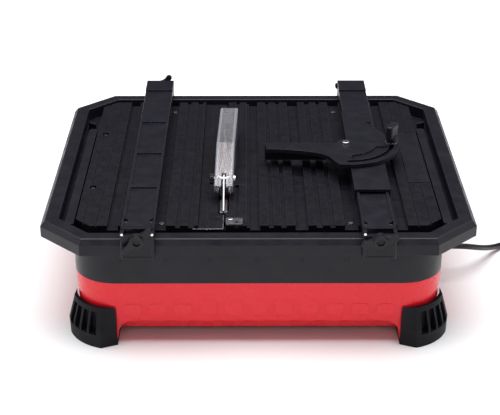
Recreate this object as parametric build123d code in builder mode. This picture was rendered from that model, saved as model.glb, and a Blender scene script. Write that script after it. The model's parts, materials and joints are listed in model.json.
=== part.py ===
from build123d import *
import math
import os

# Table-top wet tile saw: red water tub, black octagonal deck, ribbed table, blade with a clear guard,
# two parallel fence rails and a mitre gauge.  Millimetres, +Z up.  X runs left to right along the front,
# Y runs from the front (negative) to the rear, and the origin is on the floor under the deck's centre.

os.makedirs("parts", exist_ok=True)

# ---------------------------------------------------------------- driving dimensions
DECK_HALF_X = 277.5          # lip of the deck
DECK_HALF_Y = 255.3
DECK_CORNER = 54.8           # leg of the 45 degree corner
DECK_TOP = 150.0
LIP_TOP = 143.0
SKIRT_BOTTOM = 129.0
BEVEL = 5.9                  # from the lip to the flat top
FLAT_WIDTH = 17.0            # flat top of the rim
OPENING = BEVEL + FLAT_WIDTH

BODY_HALF_X = 235.0          # housing and tub at their seam
BODY_HALF_Y = 253.0
BODY_RADIUS = 55.0
SEAM_Z = 89.0
TUB_BOTTOM = 33.0
WALL = 3.0

TABLE_HALF_X = 232.0
TABLE_HALF_Y = 215.5
TABLE_CORNER = 19.5
LAND_TOP = 151.5
GROOVE_Z = 148.2
CHANNEL_Z = 145.0
TABLE_BOTTOM = 140.0

BLADE_X = -45.0
BLADE_Z = 98.5
BLADE_RADIUS = 89.0
RIM_INNER = 82.0
SHAFT_RADIUS = 7.95
BEARING_BORE = 8.0

FENCE_LEFT_X = -149.5
FENCE_RIGHT_X = 148.2
RAIL_WIDTH = 41.5
RAIL_BOTTOM = 152.1
RAIL_TOP = 167.0
RAIL_END = 255.8
CLAMP_INNER = 257.0
CLAMP_OUTER = 265.0
WING_Z = 157.0
STUD_RADIUS = 2.95
STUD_HOLE = 3.05

GUARD_YAW = 1.4              # the guard's nose leans a little to the right
GUARD_PIVOT = (BLADE_X, -116.0, 171.0)
GUARD_HALF = 12.5
GUARD_WALL = 2.5

GAUGE_PIVOT = (122.4, -8.2)
CARRIAGE_BOTTOM = 167.3
CARRIAGE_TOP = 171.0
ARM_BOTTOM = 171.4
ARM_TOP = 177.0
DISC_RADIUS = 74.5

CORD_RADIUS = 4.0


# ---------------------------------------------------------------- helpers
def save(item, name):
    """Label a finished piece and write it as STEP."""
    item.part.label = name
    export_step(item.part, f"parts/{name}.step")


def octagon(inset):
    """The deck's outline with its 45 degree corners, moved in by inset."""
    half_x = DECK_HALF_X - inset
    half_y = DECK_HALF_Y - inset
    leg = DECK_CORNER - inset * (2 - math.sqrt(2))
    return cut_rectangle(half_x, half_y, leg)


def cut_rectangle(half_x, half_y, leg):
    """Points of a rectangle about the origin whose corners are cut at 45 degrees."""
    quarter = [(half_x, half_y - leg), (half_x - leg, half_y)]
    points = list(quarter)
    points += [(-x, y) for x, y in reversed(quarter)]
    points += [(-x, -y) for x, y in quarter]
    points += [(x, -y) for x, y in reversed(quarter)]
    return points


def polar(radius, degrees, centre=(0.0, 0.0)):
    """A point at a radius and an angle about a centre."""
    angle = math.radians(degrees)
    return (centre[0] + radius * math.cos(angle), centre[1] + radius * math.sin(angle))


def add_box(x0, x1, y0, y1, z0, z1, mode=Mode.ADD):
    """Join a box given by its limits to the part being built."""
    with Locations(((x0 + x1) / 2, (y0 + y1) / 2, (z0 + z1) / 2)):
        Box(x1 - x0, y1 - y0, z1 - z0, mode=mode)


def cut_box(x0, x1, y0, y1, z0, z1):
    """Take a box given by its limits out of the part being built."""
    add_box(x0, x1, y0, y1, z0, z1, Mode.SUBTRACT)


def x_plane(x, y=0.0, z=0.0):
    """A plane across X: its own axes are Y and Z and it faces +X."""
    return Plane(origin=(x, y, z), x_dir=(0, 1, 0), z_dir=(1, 0, 0))


def front_plane(y, x=0.0, z=0.0):
    """A plane across Y that faces the front: its own axes are X and Z."""
    return Plane(origin=(x, y, z), x_dir=(1, 0, 0), z_dir=(0, -1, 0))


# ---------------------------------------------------------------- water tub
FLUTE_PITCH = 32.0
WELL_BOTTOM = 13.0
DEEP_BOTTOM = 3.5
DEEP_HALF_Y = 116.0
DEEP_HALF_X = 34.0
CORNER_X = BODY_HALF_X - BODY_RADIUS
CORNER_Y = BODY_HALF_Y - BODY_RADIUS
LEG_BOTTOM = 6.0
LEG_RADIUS = 51.0

with BuildPart() as water_tub:
    with BuildSketch(Plane.XY.offset(TUB_BOTTOM)):
        RectangleRounded(2 * BODY_HALF_X - 7, 2 * BODY_HALF_Y - 7, BODY_RADIUS - 3)
    with BuildSketch(Plane.XY.offset(SEAM_Z)):
        RectangleRounded(2 * BODY_HALF_X, 2 * BODY_HALF_Y, BODY_RADIUS)
    loft()
    with BuildSketch(Plane.XY.offset(WELL_BOTTOM)):
        RectangleRounded(2 * BODY_HALF_X - 52, 2 * BODY_HALF_Y - 50, BODY_RADIUS - 14)
    extrude(amount=TUB_BOTTOM + 1 - WELL_BOTTOM)
    with BuildSketch(Plane.XY.offset(DEEP_BOTTOM)):
        with Locations((BLADE_X, 0)):
            RectangleRounded(2 * DEEP_HALF_X, 2 * DEEP_HALF_Y, 18)
    extrude(amount=WELL_BOTTOM + 1 - DEEP_BOTTOM)
    # legs at the corners, which the rubber feet wrap, with a curve down to each from the front and rear edges
    for side_x in (-1, 1):
        for side_y in (-1, 1):
            with BuildSketch(Plane.XY.offset(LEG_BOTTOM)):
                with Locations((side_x * CORNER_X, side_y * CORNER_Y)):
                    Circle(LEG_RADIUS)
                with Locations((side_x * (CORNER_X + LEG_RADIUS / 2), side_y * (CORNER_Y + LEG_RADIUS / 2))):
                    Rectangle(LEG_RADIUS, LEG_RADIUS, mode=Mode.INTERSECT)
            extrude(amount=TUB_BOTTOM + 1 - LEG_BOTTOM)
            with BuildSketch(front_plane(side_y * 239, side_x * CORNER_X, TUB_BOTTOM)):
                with Locations((-side_x * 11, -11)):
                    Rectangle(22, 24)
                with Locations((-side_x * 22, -22)):
                    Circle(22, mode=Mode.SUBTRACT)
            extrude(amount=9, both=True)
    # hollow: basin, well and the blade's deep well
    with BuildSketch(Plane.XY.offset(TUB_BOTTOM + WALL)):
        RectangleRounded(2 * BODY_HALF_X - 13, 2 * BODY_HALF_Y - 13, BODY_RADIUS - 6)
    with BuildSketch(Plane.XY.offset(SEAM_Z)):
        RectangleRounded(2 * BODY_HALF_X - 6, 2 * BODY_HALF_Y - 6, BODY_RADIUS - 3)
    loft(mode=Mode.SUBTRACT)
    with BuildSketch(Plane.XY.offset(WELL_BOTTOM + WALL)):
        RectangleRounded(2 * BODY_HALF_X - 58, 2 * BODY_HALF_Y - 56, BODY_RADIUS - 17)
    extrude(amount=TUB_BOTTOM - WELL_BOTTOM, mode=Mode.SUBTRACT)
    with BuildSketch(Plane.XY.offset(DEEP_BOTTOM + WALL)):
        with Locations((BLADE_X, 0)):
            RectangleRounded(2 * DEEP_HALF_X - 6, 2 * DEEP_HALF_Y - 6, 15)
    extrude(amount=WELL_BOTTOM - DEEP_BOTTOM, mode=Mode.SUBTRACT)
    # raised band of plain pads along the front and the rear
    for side_y in (-1, 1):
        for index in range(-5, 6):
            tall = abs(index) <= 2
            pad_height = 20 if tall else 15
            pad_z = 54 if tall else 51
            with BuildSketch(front_plane(side_y * 250.9, index * FLUTE_PITCH, pad_z)):
                RectangleRounded(22, pad_height, 4)
            extrude(amount=0.7, both=True)
    # soft scallops along the lower front and rear edges, one between each two pads
    for side_y in (-1, 1):
        for index in range(-5, 5):
            with BuildSketch(front_plane(side_y * 251, (index + 0.5) * FLUTE_PITCH, TUB_BOTTOM + 2 - 40)):
                Circle(40)
            extrude(amount=3.6, both=True, mode=Mode.SUBTRACT)
    # drain hole through the rear wall
    with BuildSketch(front_plane(BODY_HALF_Y + 5, 150, 50)):
        Circle(9)
    extrude(amount=22, mode=Mode.SUBTRACT)
save(water_tub, "water_tub")

with BuildPart() as drain_plug:
    with BuildSketch(front_plane(BODY_HALF_Y + 4.5, 150, 50)):
        Circle(13)
    extrude(amount=5)
    with BuildSketch(front_plane(BODY_HALF_Y + 2, 150, 50)):
        Circle(8.9)
    extrude(amount=10)
    with BuildSketch(front_plane(BODY_HALF_Y + 11, 150, 50)):
        Rectangle(18, 4)
    extrude(amount=7)
save(drain_plug, "drain_plug")


# ---------------------------------------------------------------- rubber feet
FOOT_TOP = 54.0
FOOT_SECTIONS = [(0.0, 67.0), (24.0, 68.0), (FOOT_TOP, 59.5)]
FOOT_ARC = 72.0


def build_foot(name, side_x, side_y):
    """A rubber boot around one corner, with four tall tapered slots in its outer face."""
    centre = (side_x * CORNER_X, side_y * CORNER_Y)
    wall_side = (centre[0] + side_x * BODY_RADIUS, centre[1])
    wall_front = (centre[0], centre[1] + side_y * BODY_RADIUS)
    diagonal = math.degrees(math.atan2(side_y, side_x))
    spread = side_x * side_y * (FOOT_ARC - 45)
    with BuildPart() as foot:
        for lower, upper in zip(FOOT_SECTIONS[:-1], FOOT_SECTIONS[1:]):
            for height, radius in (lower, upper):
                low = polar(radius, diagonal - spread, centre)
                high = polar(radius, diagonal + spread, centre)
                with BuildSketch(Plane.XY.offset(height)):
                    with BuildLine():
                        Line(wall_side, low)
                        ThreePointArc(low, polar(radius, diagonal, centre), high)
                        Polyline(high, wall_front, centre, wall_side)
                    make_face()
            loft(ruled=True)
        # hollow above the sole, which carries the corner leg and wraps the body's corner
        with BuildSketch(Plane.XY.offset(LEG_BOTTOM)):
            with Locations((centre[0], centre[1])):
                Circle(BODY_RADIUS + 0.2)
        extrude(amount=FOOT_TOP, mode=Mode.SUBTRACT)
        for slot in range(4):
            turn = diagonal + (slot - 1.5) * 11.6
            direction = polar(1.0, turn)
            origin = (centre[0] + 57.8 * direction[0], centre[1] + 57.8 * direction[1], 34)
            across = (-direction[1], direction[0], 0)
            slot_plane = Plane(origin=origin, x_dir=across, z_dir=(direction[0], direction[1], 0))
            with BuildSketch(slot_plane):
                Polygon((-5.7, -16), (5.7, -16), (4.2, 14), (-4.2, 14))
            extrude(amount=20, mode=Mode.SUBTRACT)
    save(foot, name)


build_foot("foot_front_left", -1, -1)
build_foot("foot_front_right", 1, -1)
build_foot("foot_rear_left", -1, 1)
build_foot("foot_rear_right", 1, 1)


# ---------------------------------------------------------------- upper housing
TICK_PITCH = 56.5
DECK_SCREW_X = 227.6
with BuildPart() as upper_housing:
    with BuildSketch(Plane.XY.offset(SEAM_Z)):
        RectangleRounded(2 * BODY_HALF_X, 2 * BODY_HALF_Y, BODY_RADIUS)
        RectangleRounded(2 * BODY_HALF_X - 6, 2 * BODY_HALF_Y - 6, BODY_RADIUS - 3, mode=Mode.SUBTRACT)
    extrude(amount=SKIRT_BOTTOM - SEAM_Z)
    # inner flange that carries the deck and the table frame
    with BuildSketch(Plane.XY.offset(SKIRT_BOTTOM - 3.5)):
        RectangleRounded(2 * BODY_HALF_X - 2, 2 * BODY_HALF_Y - 2, BODY_RADIUS - 1)
        RectangleRounded(2 * 220, 2 * 226, BODY_RADIUS - 12, mode=Mode.SUBTRACT)
    extrude(amount=3.5)
    # lap that locates the tub: a rib inside its rim
    for level, outer in ((SEAM_Z - 5, 7.4), (SEAM_Z, 4.0)):
        with BuildSketch(Plane.XY.offset(level)):
            RectangleRounded(2 * BODY_HALF_X - outer, 2 * BODY_HALF_Y - outer, BODY_RADIUS - outer / 2)
            RectangleRounded(2 * BODY_HALF_X - 12, 2 * BODY_HALF_Y - 12, BODY_RADIUS - 6, mode=Mode.SUBTRACT)
        extrude(amount=5)
    # holes for the deck's screws
    with BuildSketch(Plane.XY.offset(SKIRT_BOTTOM - 4)):
        with GridLocations(2 * DECK_SCREW_X, 150, 2, 3):
            Circle(2)
    extrude(amount=5, mode=Mode.SUBTRACT)
    # small snap ribs under the skirt
    for side_y in (-1, 1):
        for index in range(7):
            with BuildSketch(front_plane(side_y * BODY_HALF_Y, -173 + index * TICK_PITCH, 124)):
                with GridLocations(3.4, 1, 2, 1):
                    Rectangle(1.2, 7)
            extrude(amount=0.8, both=True, mode=Mode.SUBTRACT)
save(upper_housing, "upper_housing")


# ---------------------------------------------------------------- deck rim
STRIP_X = 240.0
STRIP_WIDTH = 10.8
STRIP_DROP = 0.4
with BuildPart() as deck:
    with BuildSketch(Plane.XY.offset(SKIRT_BOTTOM)):
        Polygon(*octagon(0))
    extrude(amount=LIP_TOP - SKIRT_BOTTOM)
    with BuildSketch(Plane.XY.offset(LIP_TOP)):
        Polygon(*octagon(0))
    with BuildSketch(Plane.XY.offset(DECK_TOP)):
        Polygon(*octagon(BEVEL))
    loft(ruled=True)
    with BuildSketch(Plane.XY.offset(SKIRT_BOTTOM)):
        Polygon(*octagon(OPENING))
    extrude(amount=DECK_TOP - SKIRT_BOTTOM + 1, mode=Mode.SUBTRACT)
    # the rim is an upturned channel
    with BuildSketch(Plane.XY.offset(SKIRT_BOTTOM)):
        Polygon(*octagon(WALL))
        Polygon(*octagon(OPENING - WALL), mode=Mode.SUBTRACT)
    extrude(amount=LIP_TOP - SKIRT_BOTTOM - 0.5, mode=Mode.SUBTRACT)
    chamfer(deck.edges().filter_by(GeomType.LINE).group_by(Axis.Z)[-1], 0.8)
    # gutter floors at the left and the right, falling water runs back into the tub
    with BuildSketch(Plane.XY.offset(SKIRT_BOTTOM)):
        Polygon(*octagon(OPENING - 1))
        Rectangle(2 * 223, 2 * DECK_HALF_Y, mode=Mode.SUBTRACT)
    extrude(amount=WALL)
    # gutter strips beside the table
    for side in (-1, 1):
        with BuildSketch(Plane.XY.offset(SKIRT_BOTTOM + 1)):
            with Locations((side * STRIP_X, -47)):
                RectangleRounded(STRIP_WIDTH, 318, 3)
        extrude(amount=DECK_TOP - STRIP_DROP - SKIRT_BOTTOM - 1)
        # curved tab at the rear end of each gutter
        with BuildSketch(Plane.XY.offset(SKIRT_BOTTOM + 1)):
            with Locations((side * 246, 150)):
                SlotOverall(14, 4, rotation=side * 35)
        extrude(amount=14)
    with BuildSketch(Plane.XY.offset(SKIRT_BOTTOM)):
        with GridLocations(2 * DECK_SCREW_X, 150, 2, 3):
            Circle(2)
    extrude(amount=WALL, mode=Mode.SUBTRACT)
save(deck, "deck")

with BuildPart() as deck_screws:
    # pan heads under the flange that hold the deck down
    with BuildSketch(Plane.XY.offset(SKIRT_BOTTOM - 3.5)):
        with GridLocations(2 * DECK_SCREW_X, 150, 2, 3):
            Circle(3.3)
    extrude(amount=-2.4)
    with BuildSketch(Plane.XY.offset(SKIRT_BOTTOM - 3.5)):
        with GridLocations(2 * DECK_SCREW_X, 150, 2, 3):
            Circle(1.93)
    extrude(amount=6)
save(deck_screws, "deck_screws")


# ---------------------------------------------------------------- table
# Each table part is a ribbed casting: lands to rest the tile on, grooves between them and deeper channels.
def cut_strips(strips, top, y_half=TABLE_HALF_Y + 1):
    """Cut straight strips, given by their X limits, down to a level."""
    for x0, x1 in strips:
        cut_box(x0, x1, -y_half, y_half, top, LAND_TOP + 1)


LEFT_CHANNELS = [(-191.2, -177.2), (-129.8, -117.0), (-73.0, -60.0)]
LEFT_GROOVES = [(-165.0, -160.0), (-149.0, -144.0), (-105.2, -99.2), (-89.1, -81.3)]
FINE_GROOVES = [(-222.6, -221.2), (-205.7, -204.3)]
RIGHT_CHANNELS = [(-11.0, 1.6), (46.5, 62.6), (108.6, 125.4), (174.4, 188.0)]
RIGHT_GROOVES = [(12.9, 19.1), (28.7, 34.9), (72.9, 80.8), (90.4, 96.4), (138.0, 143.0), (153.0, 158.0)]
RIGHT_FINE_GROOVES = [(201.2, 202.6), (216.4, 217.8)]
SPLIT_LEFT = -77.0
SPLIT_RIGHT = -10.6
WINDOWS = [(-220.0, 88.4), (-220.0, -97.9)]

with BuildPart() as table_left:
    with BuildSketch(Plane.XY.offset(TABLE_BOTTOM)):
        Polygon(*cut_rectangle(TABLE_HALF_X, TABLE_HALF_Y, TABLE_CORNER))
        with Locations((SPLIT_LEFT + 400, 0)):
            Rectangle(800, 600, mode=Mode.SUBTRACT)
    extrude(amount=LAND_TOP - TABLE_BOTTOM)
    cut_strips(LEFT_CHANNELS[:2], CHANNEL_Z)
    cut_strips(LEFT_GROOVES, GROOVE_Z)
    cut_strips(FINE_GROOVES, LAND_TOP - 2.2)
    for x, y in WINDOWS:
        cut_box(x - 4.2, x + 4.2, y - 5, y + 5, LAND_TOP - 4, LAND_TOP + 1)
    for y in (-198, 188):
        with BuildSketch(Plane.XY.offset(TABLE_BOTTOM)):
            with Locations((-123.4, y)):
                Circle(2.6)
        extrude(amount=LAND_TOP - TABLE_BOTTOM, mode=Mode.SUBTRACT)
save(table_left, "table_left")

PAD_RIGHT = (203.4, 229.0, -83.5, 85.0)
with BuildPart() as table_right:
    with BuildSketch(Plane.XY.offset(TABLE_BOTTOM)):
        Polygon(*cut_rectangle(TABLE_HALF_X, TABLE_HALF_Y, TABLE_CORNER))
        with Locations((SPLIT_RIGHT - 400, 0)):
            Rectangle(800, 600, mode=Mode.SUBTRACT)
    extrude(amount=LAND_TOP - TABLE_BOTTOM)
    cut_strips(RIGHT_CHANNELS, CHANNEL_Z)
    cut_strips(RIGHT_GROOVES, GROOVE_Z)
    cut_strips(RIGHT_FINE_GROOVES, LAND_TOP - 2.2)
    # smooth raised pad near the right edge, parted from the lands by a narrow line at each end
    add_box(*PAD_RIGHT, LAND_TOP - 3, LAND_TOP + 0.35)
    for y in (PAD_RIGHT[2] - 1.4, PAD_RIGHT[3]):
        cut_box(PAD_RIGHT[0], TABLE_HALF_X + 1, y, y + 1.4, LAND_TOP - 1.6, LAND_TOP + 1)
    for y in (-198, 188):
        with BuildSketch(Plane.XY.offset(TABLE_BOTTOM)):
            with Locations((117, y)):
                Circle(2.6)
        extrude(amount=LAND_TOP - TABLE_BOTTOM, mode=Mode.SUBTRACT)
save(table_right, "table_right")

# Slot plates: the left one is a flat sheet at channel level, the right one is ribbed like the table.
SLOT_FRONT = -177.0
SLOT_REAR = 100.0
SLOT_LEFT = -52.0
SLOT_RIGHT = -38.0
SLIT_LEFT = -44.4
SLIT_RIGHT = -41.9

with BuildPart() as slot_plate_left:
    add_box(SPLIT_LEFT + 0.6, SLIT_LEFT, -218.0, 215.5, TABLE_BOTTOM, 147.4)
    cut_box(SLOT_LEFT, SLIT_LEFT + 1, SLOT_FRONT + 6, SLOT_REAR - 6, TABLE_BOTTOM - 1, LAND_TOP + 1)
    with BuildSketch(Plane.XY.offset(TABLE_BOTTOM - 1)):
        Polygon((SLOT_LEFT, SLOT_FRONT + 4), (SLOT_LEFT + 4, SLOT_FRONT), (SLIT_LEFT + 1, SLOT_FRONT),
                (SLIT_LEFT + 1, SLOT_REAR), (SLIT_LEFT - 2, SLOT_REAR), (SLOT_LEFT, SLOT_REAR - 7))
    extrude(amount=12, mode=Mode.SUBTRACT)
    cut_box(-65.6, -64.2, -219, 216, 146.0, LAND_TOP + 1)
save(slot_plate_left, "slot_plate_left")

with BuildPart() as slot_plate_right:
    add_box(SLIT_RIGHT, SPLIT_RIGHT - 0.6, -215.5, 215.5, TABLE_BOTTOM, LAND_TOP)
    cut_box(SLIT_RIGHT - 1, SLOT_RIGHT, SLOT_FRONT, SLOT_REAR, TABLE_BOTTOM - 1, LAND_TOP + 1)
    cut_strips([(-30.4, -25.2), (-15.0, -11.0)], GROOVE_Z)
    # smooth pad beside the guard
    add_box(-31.0, -15.0, -93.5, -42.0, GROOVE_Z - 1, LAND_TOP + 0.3)
save(slot_plate_right, "slot_plate_right")

with BuildPart() as table_screws:
    for x, y in ((-123.4, -198), (-123.4, 188), (117, -198), (117, 188)):
        with BuildSketch(Plane.XY.offset(CHANNEL_Z)):
            with Locations((x, y)):
                Circle(3.4)
        extrude(amount=1.2)
        with BuildSketch(Plane.XY.offset(132)):
            with Locations((x, y)):
                Circle(2.4)
        extrude(amount=CHANNEL_Z - 132)
    for x, y in WINDOWS:
        with BuildSketch(Plane.XY.offset(LAND_TOP - 4)):
            with Locations((x, y)):
                Circle(2.4)
        extrude(amount=2.0)
    chamfer(table_screws.edges().filter_by(GeomType.CIRCLE).group_by(Axis.Z)[-1], 0.4)
save(table_screws, "table_screws")

# ---------------------------------------------------------------- frame under the table
FRAME_TOP = TABLE_BOTTOM
FRAME_BOTTOM = 130.5
with BuildPart() as table_frame:
    with BuildSketch(Plane.XY.offset(FRAME_BOTTOM)):
        Rectangle(2 * 214, 2 * 206)
        Rectangle(2 * 204, 2 * 196, mode=Mode.SUBTRACT)
        for x in (-72, -8):
            with Locations((x, 0)):
                Rectangle(9, 2 * 200)
        with Locations((-40, -178)):
            Rectangle(60, 11.6)
        for x in (-123.4, 117):
            for y in (-198, 188):
                with Locations((x, y)):
                    Rectangle(16, 18)
    extrude(amount=FRAME_TOP - FRAME_BOTTOM)
    for side in (-1, 1):
        for x in (-150, 0, 150):
            add_box(x - 9, x + 9, min(side * 204, side * 231.4), max(side * 204, side * 231.4),
                    SKIRT_BOTTOM, SKIRT_BOTTOM + 6)
        for y in (-120, 120):
            add_box(min(side * 212, side * 222.6), max(side * 212, side * 222.6), y - 9, y + 9,
                    SKIRT_BOTTOM, SKIRT_BOTTOM + 6)
    for x in (-123.4, 117):
        for y in (-198, 188):
            with BuildSketch(Plane.XY.offset(FRAME_BOTTOM)):
                with Locations((x, y)):
                    Circle(2.46)
            extrude(amount=FRAME_TOP - FRAME_BOTTOM, mode=Mode.SUBTRACT)
save(table_frame, "table_frame")


# ---------------------------------------------------------------- blade, flanges and shaft
def add_disc(radius, x0, x1, mode=Mode.ADD):
    """A disc on the shaft's axis between two X positions."""
    with Locations(Location((x0, 0, BLADE_Z), (0, 90, 0))):
        Cylinder(radius, x1 - x0, align=(Align.CENTER, Align.CENTER, Align.MIN), mode=mode)


with BuildPart() as blade_core:
    add_disc(RIM_INNER, BLADE_X - 0.8, BLADE_X + 0.8)
    add_disc(SHAFT_RADIUS + 0.02, BLADE_X - 2, BLADE_X + 2, Mode.SUBTRACT)
    # cooling holes in the core
    with BuildSketch(x_plane(BLADE_X - 2, 0, BLADE_Z)):
        with PolarLocations(52, 6):
            Circle(4.5)
    extrude(amount=4, mode=Mode.SUBTRACT)
save(blade_core, "blade_core")

with BuildPart() as blade_rim:
    add_disc(BLADE_RADIUS, BLADE_X - 1.1, BLADE_X + 1.1)
    add_disc(RIM_INNER, BLADE_X - 2, BLADE_X + 2, Mode.SUBTRACT)
save(blade_rim, "blade_rim")

with BuildPart() as inner_flange:
    add_disc(25, BLADE_X + 0.8, BLADE_X + 4)
    add_disc(13, BLADE_X + 4, BLADE_X + 12)
    add_disc(SHAFT_RADIUS + 0.02, BLADE_X, BLADE_X + 14, Mode.SUBTRACT)
save(inner_flange, "inner_flange")

with BuildPart() as outer_flange:
    add_disc(25, BLADE_X - 4.5, BLADE_X - 0.8)
    add_disc(SHAFT_RADIUS + 0.02, BLADE_X - 6, BLADE_X, Mode.SUBTRACT)
save(outer_flange, "outer_flange")

with BuildPart() as arbor_nut:
    with BuildSketch(x_plane(BLADE_X - 13.5, 0, BLADE_Z)):
        RegularPolygon(12.5, 6)
        Circle(SHAFT_RADIUS + 0.02, mode=Mode.SUBTRACT)
    extrude(amount=9)
save(arbor_nut, "arbor_nut")

with BuildPart() as motor_shaft:
    add_disc(SHAFT_RADIUS, BLADE_X - 17, 146)
    add_disc(23, 36, 112)
save(motor_shaft, "motor_shaft")

# ---------------------------------------------------------------- motor
with BuildPart() as motor_case:
    add_disc(37.5, 8, 144)
    add_disc(35.5, 10, 142, Mode.SUBTRACT)
    add_disc(11, 0, 150, Mode.SUBTRACT)
    with BuildSketch(x_plane(0, 0, BLADE_Z)):
        with PolarLocations(24, 8):
            Circle(4)
    extrude(amount=12, mode=Mode.SUBTRACT)
save(motor_case, "motor_case")

with BuildPart() as motor_stator:
    add_disc(35.5, 40, 108)
    add_disc(25, 38, 110, Mode.SUBTRACT)
save(motor_stator, "motor_stator")


def build_bearing(name, x0):
    """A ball bearing in its seat ring, seen as one solid ring around the shaft."""
    with BuildPart() as bearing:
        add_disc(35.5, x0, x0 + 4)
        add_disc(17.5, x0, x0 + 11)
        add_disc(BEARING_BORE, x0 - 1, x0 + 12, Mode.SUBTRACT)
    save(bearing, name)


build_bearing("front_bearing_seat", 14)
build_bearing("rear_bearing_seat", 124)

BAY_X0 = -3.0
BAY_X1 = 158.0
with BuildPart() as motor_bay:
    add_box(BAY_X0, BAY_X1, -50, 50, WELL_BOTTOM + WALL, 127)
    cut_box(BAY_X0 + 3, BAY_X1 - 3, -47, 47, WELL_BOTTOM + 2 * WALL, 128)
    # saddles that carry the motor
    for x in (24, 112):
        add_box(x, x + 14, -47.5, 47.5, WELL_BOTTOM + WALL + 2, BLADE_Z)
    add_disc(37.5, BAY_X0 + 5, BAY_X1 - 5, Mode.SUBTRACT)
    add_disc(12, BAY_X0 - 2, BAY_X0 + 6, Mode.SUBTRACT)
save(motor_bay, "motor_bay")

# ---------------------------------------------------------------- riving knife
KNIFE_HALF = 0.9
KNIFE_ARC = BLADE_RADIUS + 6          # its front edge follows the blade at a small gap
KNIFE_FRONT_LOW = polar(KNIFE_ARC, 171, (0, BLADE_Z))
KNIFE_FRONT_HIGH = polar(KNIFE_ARC, 152, (0, BLADE_Z))
with BuildPart() as riving_knife:
    with BuildSketch(x_plane(BLADE_X - KNIFE_HALF)):
        with BuildLine():
            Polyline(KNIFE_FRONT_LOW, (-171.5, 113), (-171.5, 151), (-119.0, 176.8))
            ThreePointArc((-119.0, 176.8), (-113.0, 176.8), (-109.8, 172.8))
            Line((-109.8, 172.8), KNIFE_FRONT_HIGH)
            ThreePointArc(KNIFE_FRONT_HIGH, polar(KNIFE_ARC, 162, (0, BLADE_Z)), KNIFE_FRONT_LOW)
        make_face()
    extrude(amount=2 * KNIFE_HALF)
    with BuildSketch(x_plane(BLADE_X - 2, GUARD_PIVOT[1], GUARD_PIVOT[2])):
        Circle(3.1)
    extrude(amount=4, mode=Mode.SUBTRACT)
save(riving_knife, "riving_knife")


def build_jaw(name, x0, x1):
    """One of the two zinc jaws that hold the riving knife in the slot."""
    with BuildPart() as jaw:
        add_box(x0, x1, -172.2, -133, 114, 149.5)
        chamfer(jaw.edges().group_by(Axis.Z)[-1], 1.0)
    save(jaw, name)


build_jaw("knife_jaw_left", BLADE_X - 5.2, BLADE_X - KNIFE_HALF)
build_jaw("knife_jaw_right", BLADE_X + KNIFE_HALF, BLADE_X + 5.2)

with BuildPart() as knife_bracket:
    with BuildSketch(Plane.XY.offset(LAND_TOP)):
        with Locations((-31, -205.8)):
            RectangleRounded(21.2, 18.5, 2)
    extrude(amount=1.5)
    with BuildSketch(Plane.XY.offset(LAND_TOP)):
        with Locations((-27.6, -209.0)):
            Circle(2.2)
    extrude(amount=2, mode=Mode.SUBTRACT)
save(knife_bracket, "knife_bracket")

with BuildPart() as bracket_screw:
    with BuildSketch(Plane.XY.offset(LAND_TOP + 1.5)):
        with Locations((-35.6, -202.6)):
            Circle(3.4)
    extrude(amount=2.2)
    fillet(bracket_screw.edges().group_by(Axis.Z)[-1], 0.9)
save(bracket_screw, "bracket_screw")

# ---------------------------------------------------------------- blade guard
yaw = math.radians(GUARD_YAW)
GUARD_ALONG = (math.sin(yaw), math.cos(yaw), 0)
GUARD_ACROSS = (math.cos(yaw), -math.sin(yaw), 0)


def guard_plane(shift):
    """A plane across the guard: its axes run along the guard and up, from the pivot bolt's centre."""
    origin = tuple(GUARD_PIVOT[i] + shift * GUARD_ACROSS[i] for i in range(3))
    return Plane(origin=origin, x_dir=GUARD_ALONG, z_dir=GUARD_ACROSS)


GUARD_END = -20.0
GUARD_BEND = (66.0, 24.5)
GUARD_NOSE = (207.0, 19.5)
GUARD_NOSE_LOW = -4.0

with BuildPart() as guard_shell:
    with BuildSketch(guard_plane(0)):
        Polygon((GUARD_END, -13), (GUARD_END, -1), GUARD_BEND, GUARD_NOSE, (GUARD_NOSE[0], GUARD_NOSE_LOW))
    extrude(amount=GUARD_HALF, both=True)
    long_edges = guard_shell.edges().filter_by(lambda e: e.length > 80)
    fillet(long_edges.sort_by(Axis.Z)[-4:], 2.0)
    with BuildSketch(guard_plane(0)):
        Polygon((GUARD_END - 1, -20), (GUARD_END - 1, -1 - GUARD_WALL),
                (GUARD_BEND[0], GUARD_BEND[1] - GUARD_WALL),
                (GUARD_NOSE[0] - GUARD_WALL, GUARD_NOSE[1] - GUARD_WALL), (GUARD_NOSE[0] - GUARD_WALL, -20))
    extrude(amount=GUARD_HALF - GUARD_WALL, both=True, mode=Mode.SUBTRACT)
    # thick cheeks at the pivot bolt
    for side in (-1, 1):
        start = GUARD_HALF - 6.2 if side > 0 else -(GUARD_HALF - 0.5)
        with BuildSketch(guard_plane(start)):
            Polygon((GUARD_END, -13), (GUARD_END, -3), (12, 6), (12, -9))
        extrude(amount=5.7)
    # round the lower rear corner of both cheeks
    with BuildSketch(guard_plane(0)):
        with Locations((GUARD_END + 2, -11.5)):
            Rectangle(8, 9)
        with Locations((GUARD_END + 6, -7)):
            Circle(6, mode=Mode.SUBTRACT)
    extrude(amount=GUARD_HALF + 1, both=True, mode=Mode.SUBTRACT)
    # notch in the roof for the riving knife
    with BuildSketch(guard_plane(-3.2)):
        Polygon((GUARD_END - 1, -8), (GUARD_END - 1, 12), (6, 12), (6, -8))
    extrude(amount=6.4, mode=Mode.SUBTRACT)
    # bolt holes
    with BuildSketch(guard_plane(-GUARD_HALF - 1)):
        Circle(3.05)
    extrude(amount=2 * GUARD_HALF + 2, mode=Mode.SUBTRACT)
save(guard_shell, "guard_shell")

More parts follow.
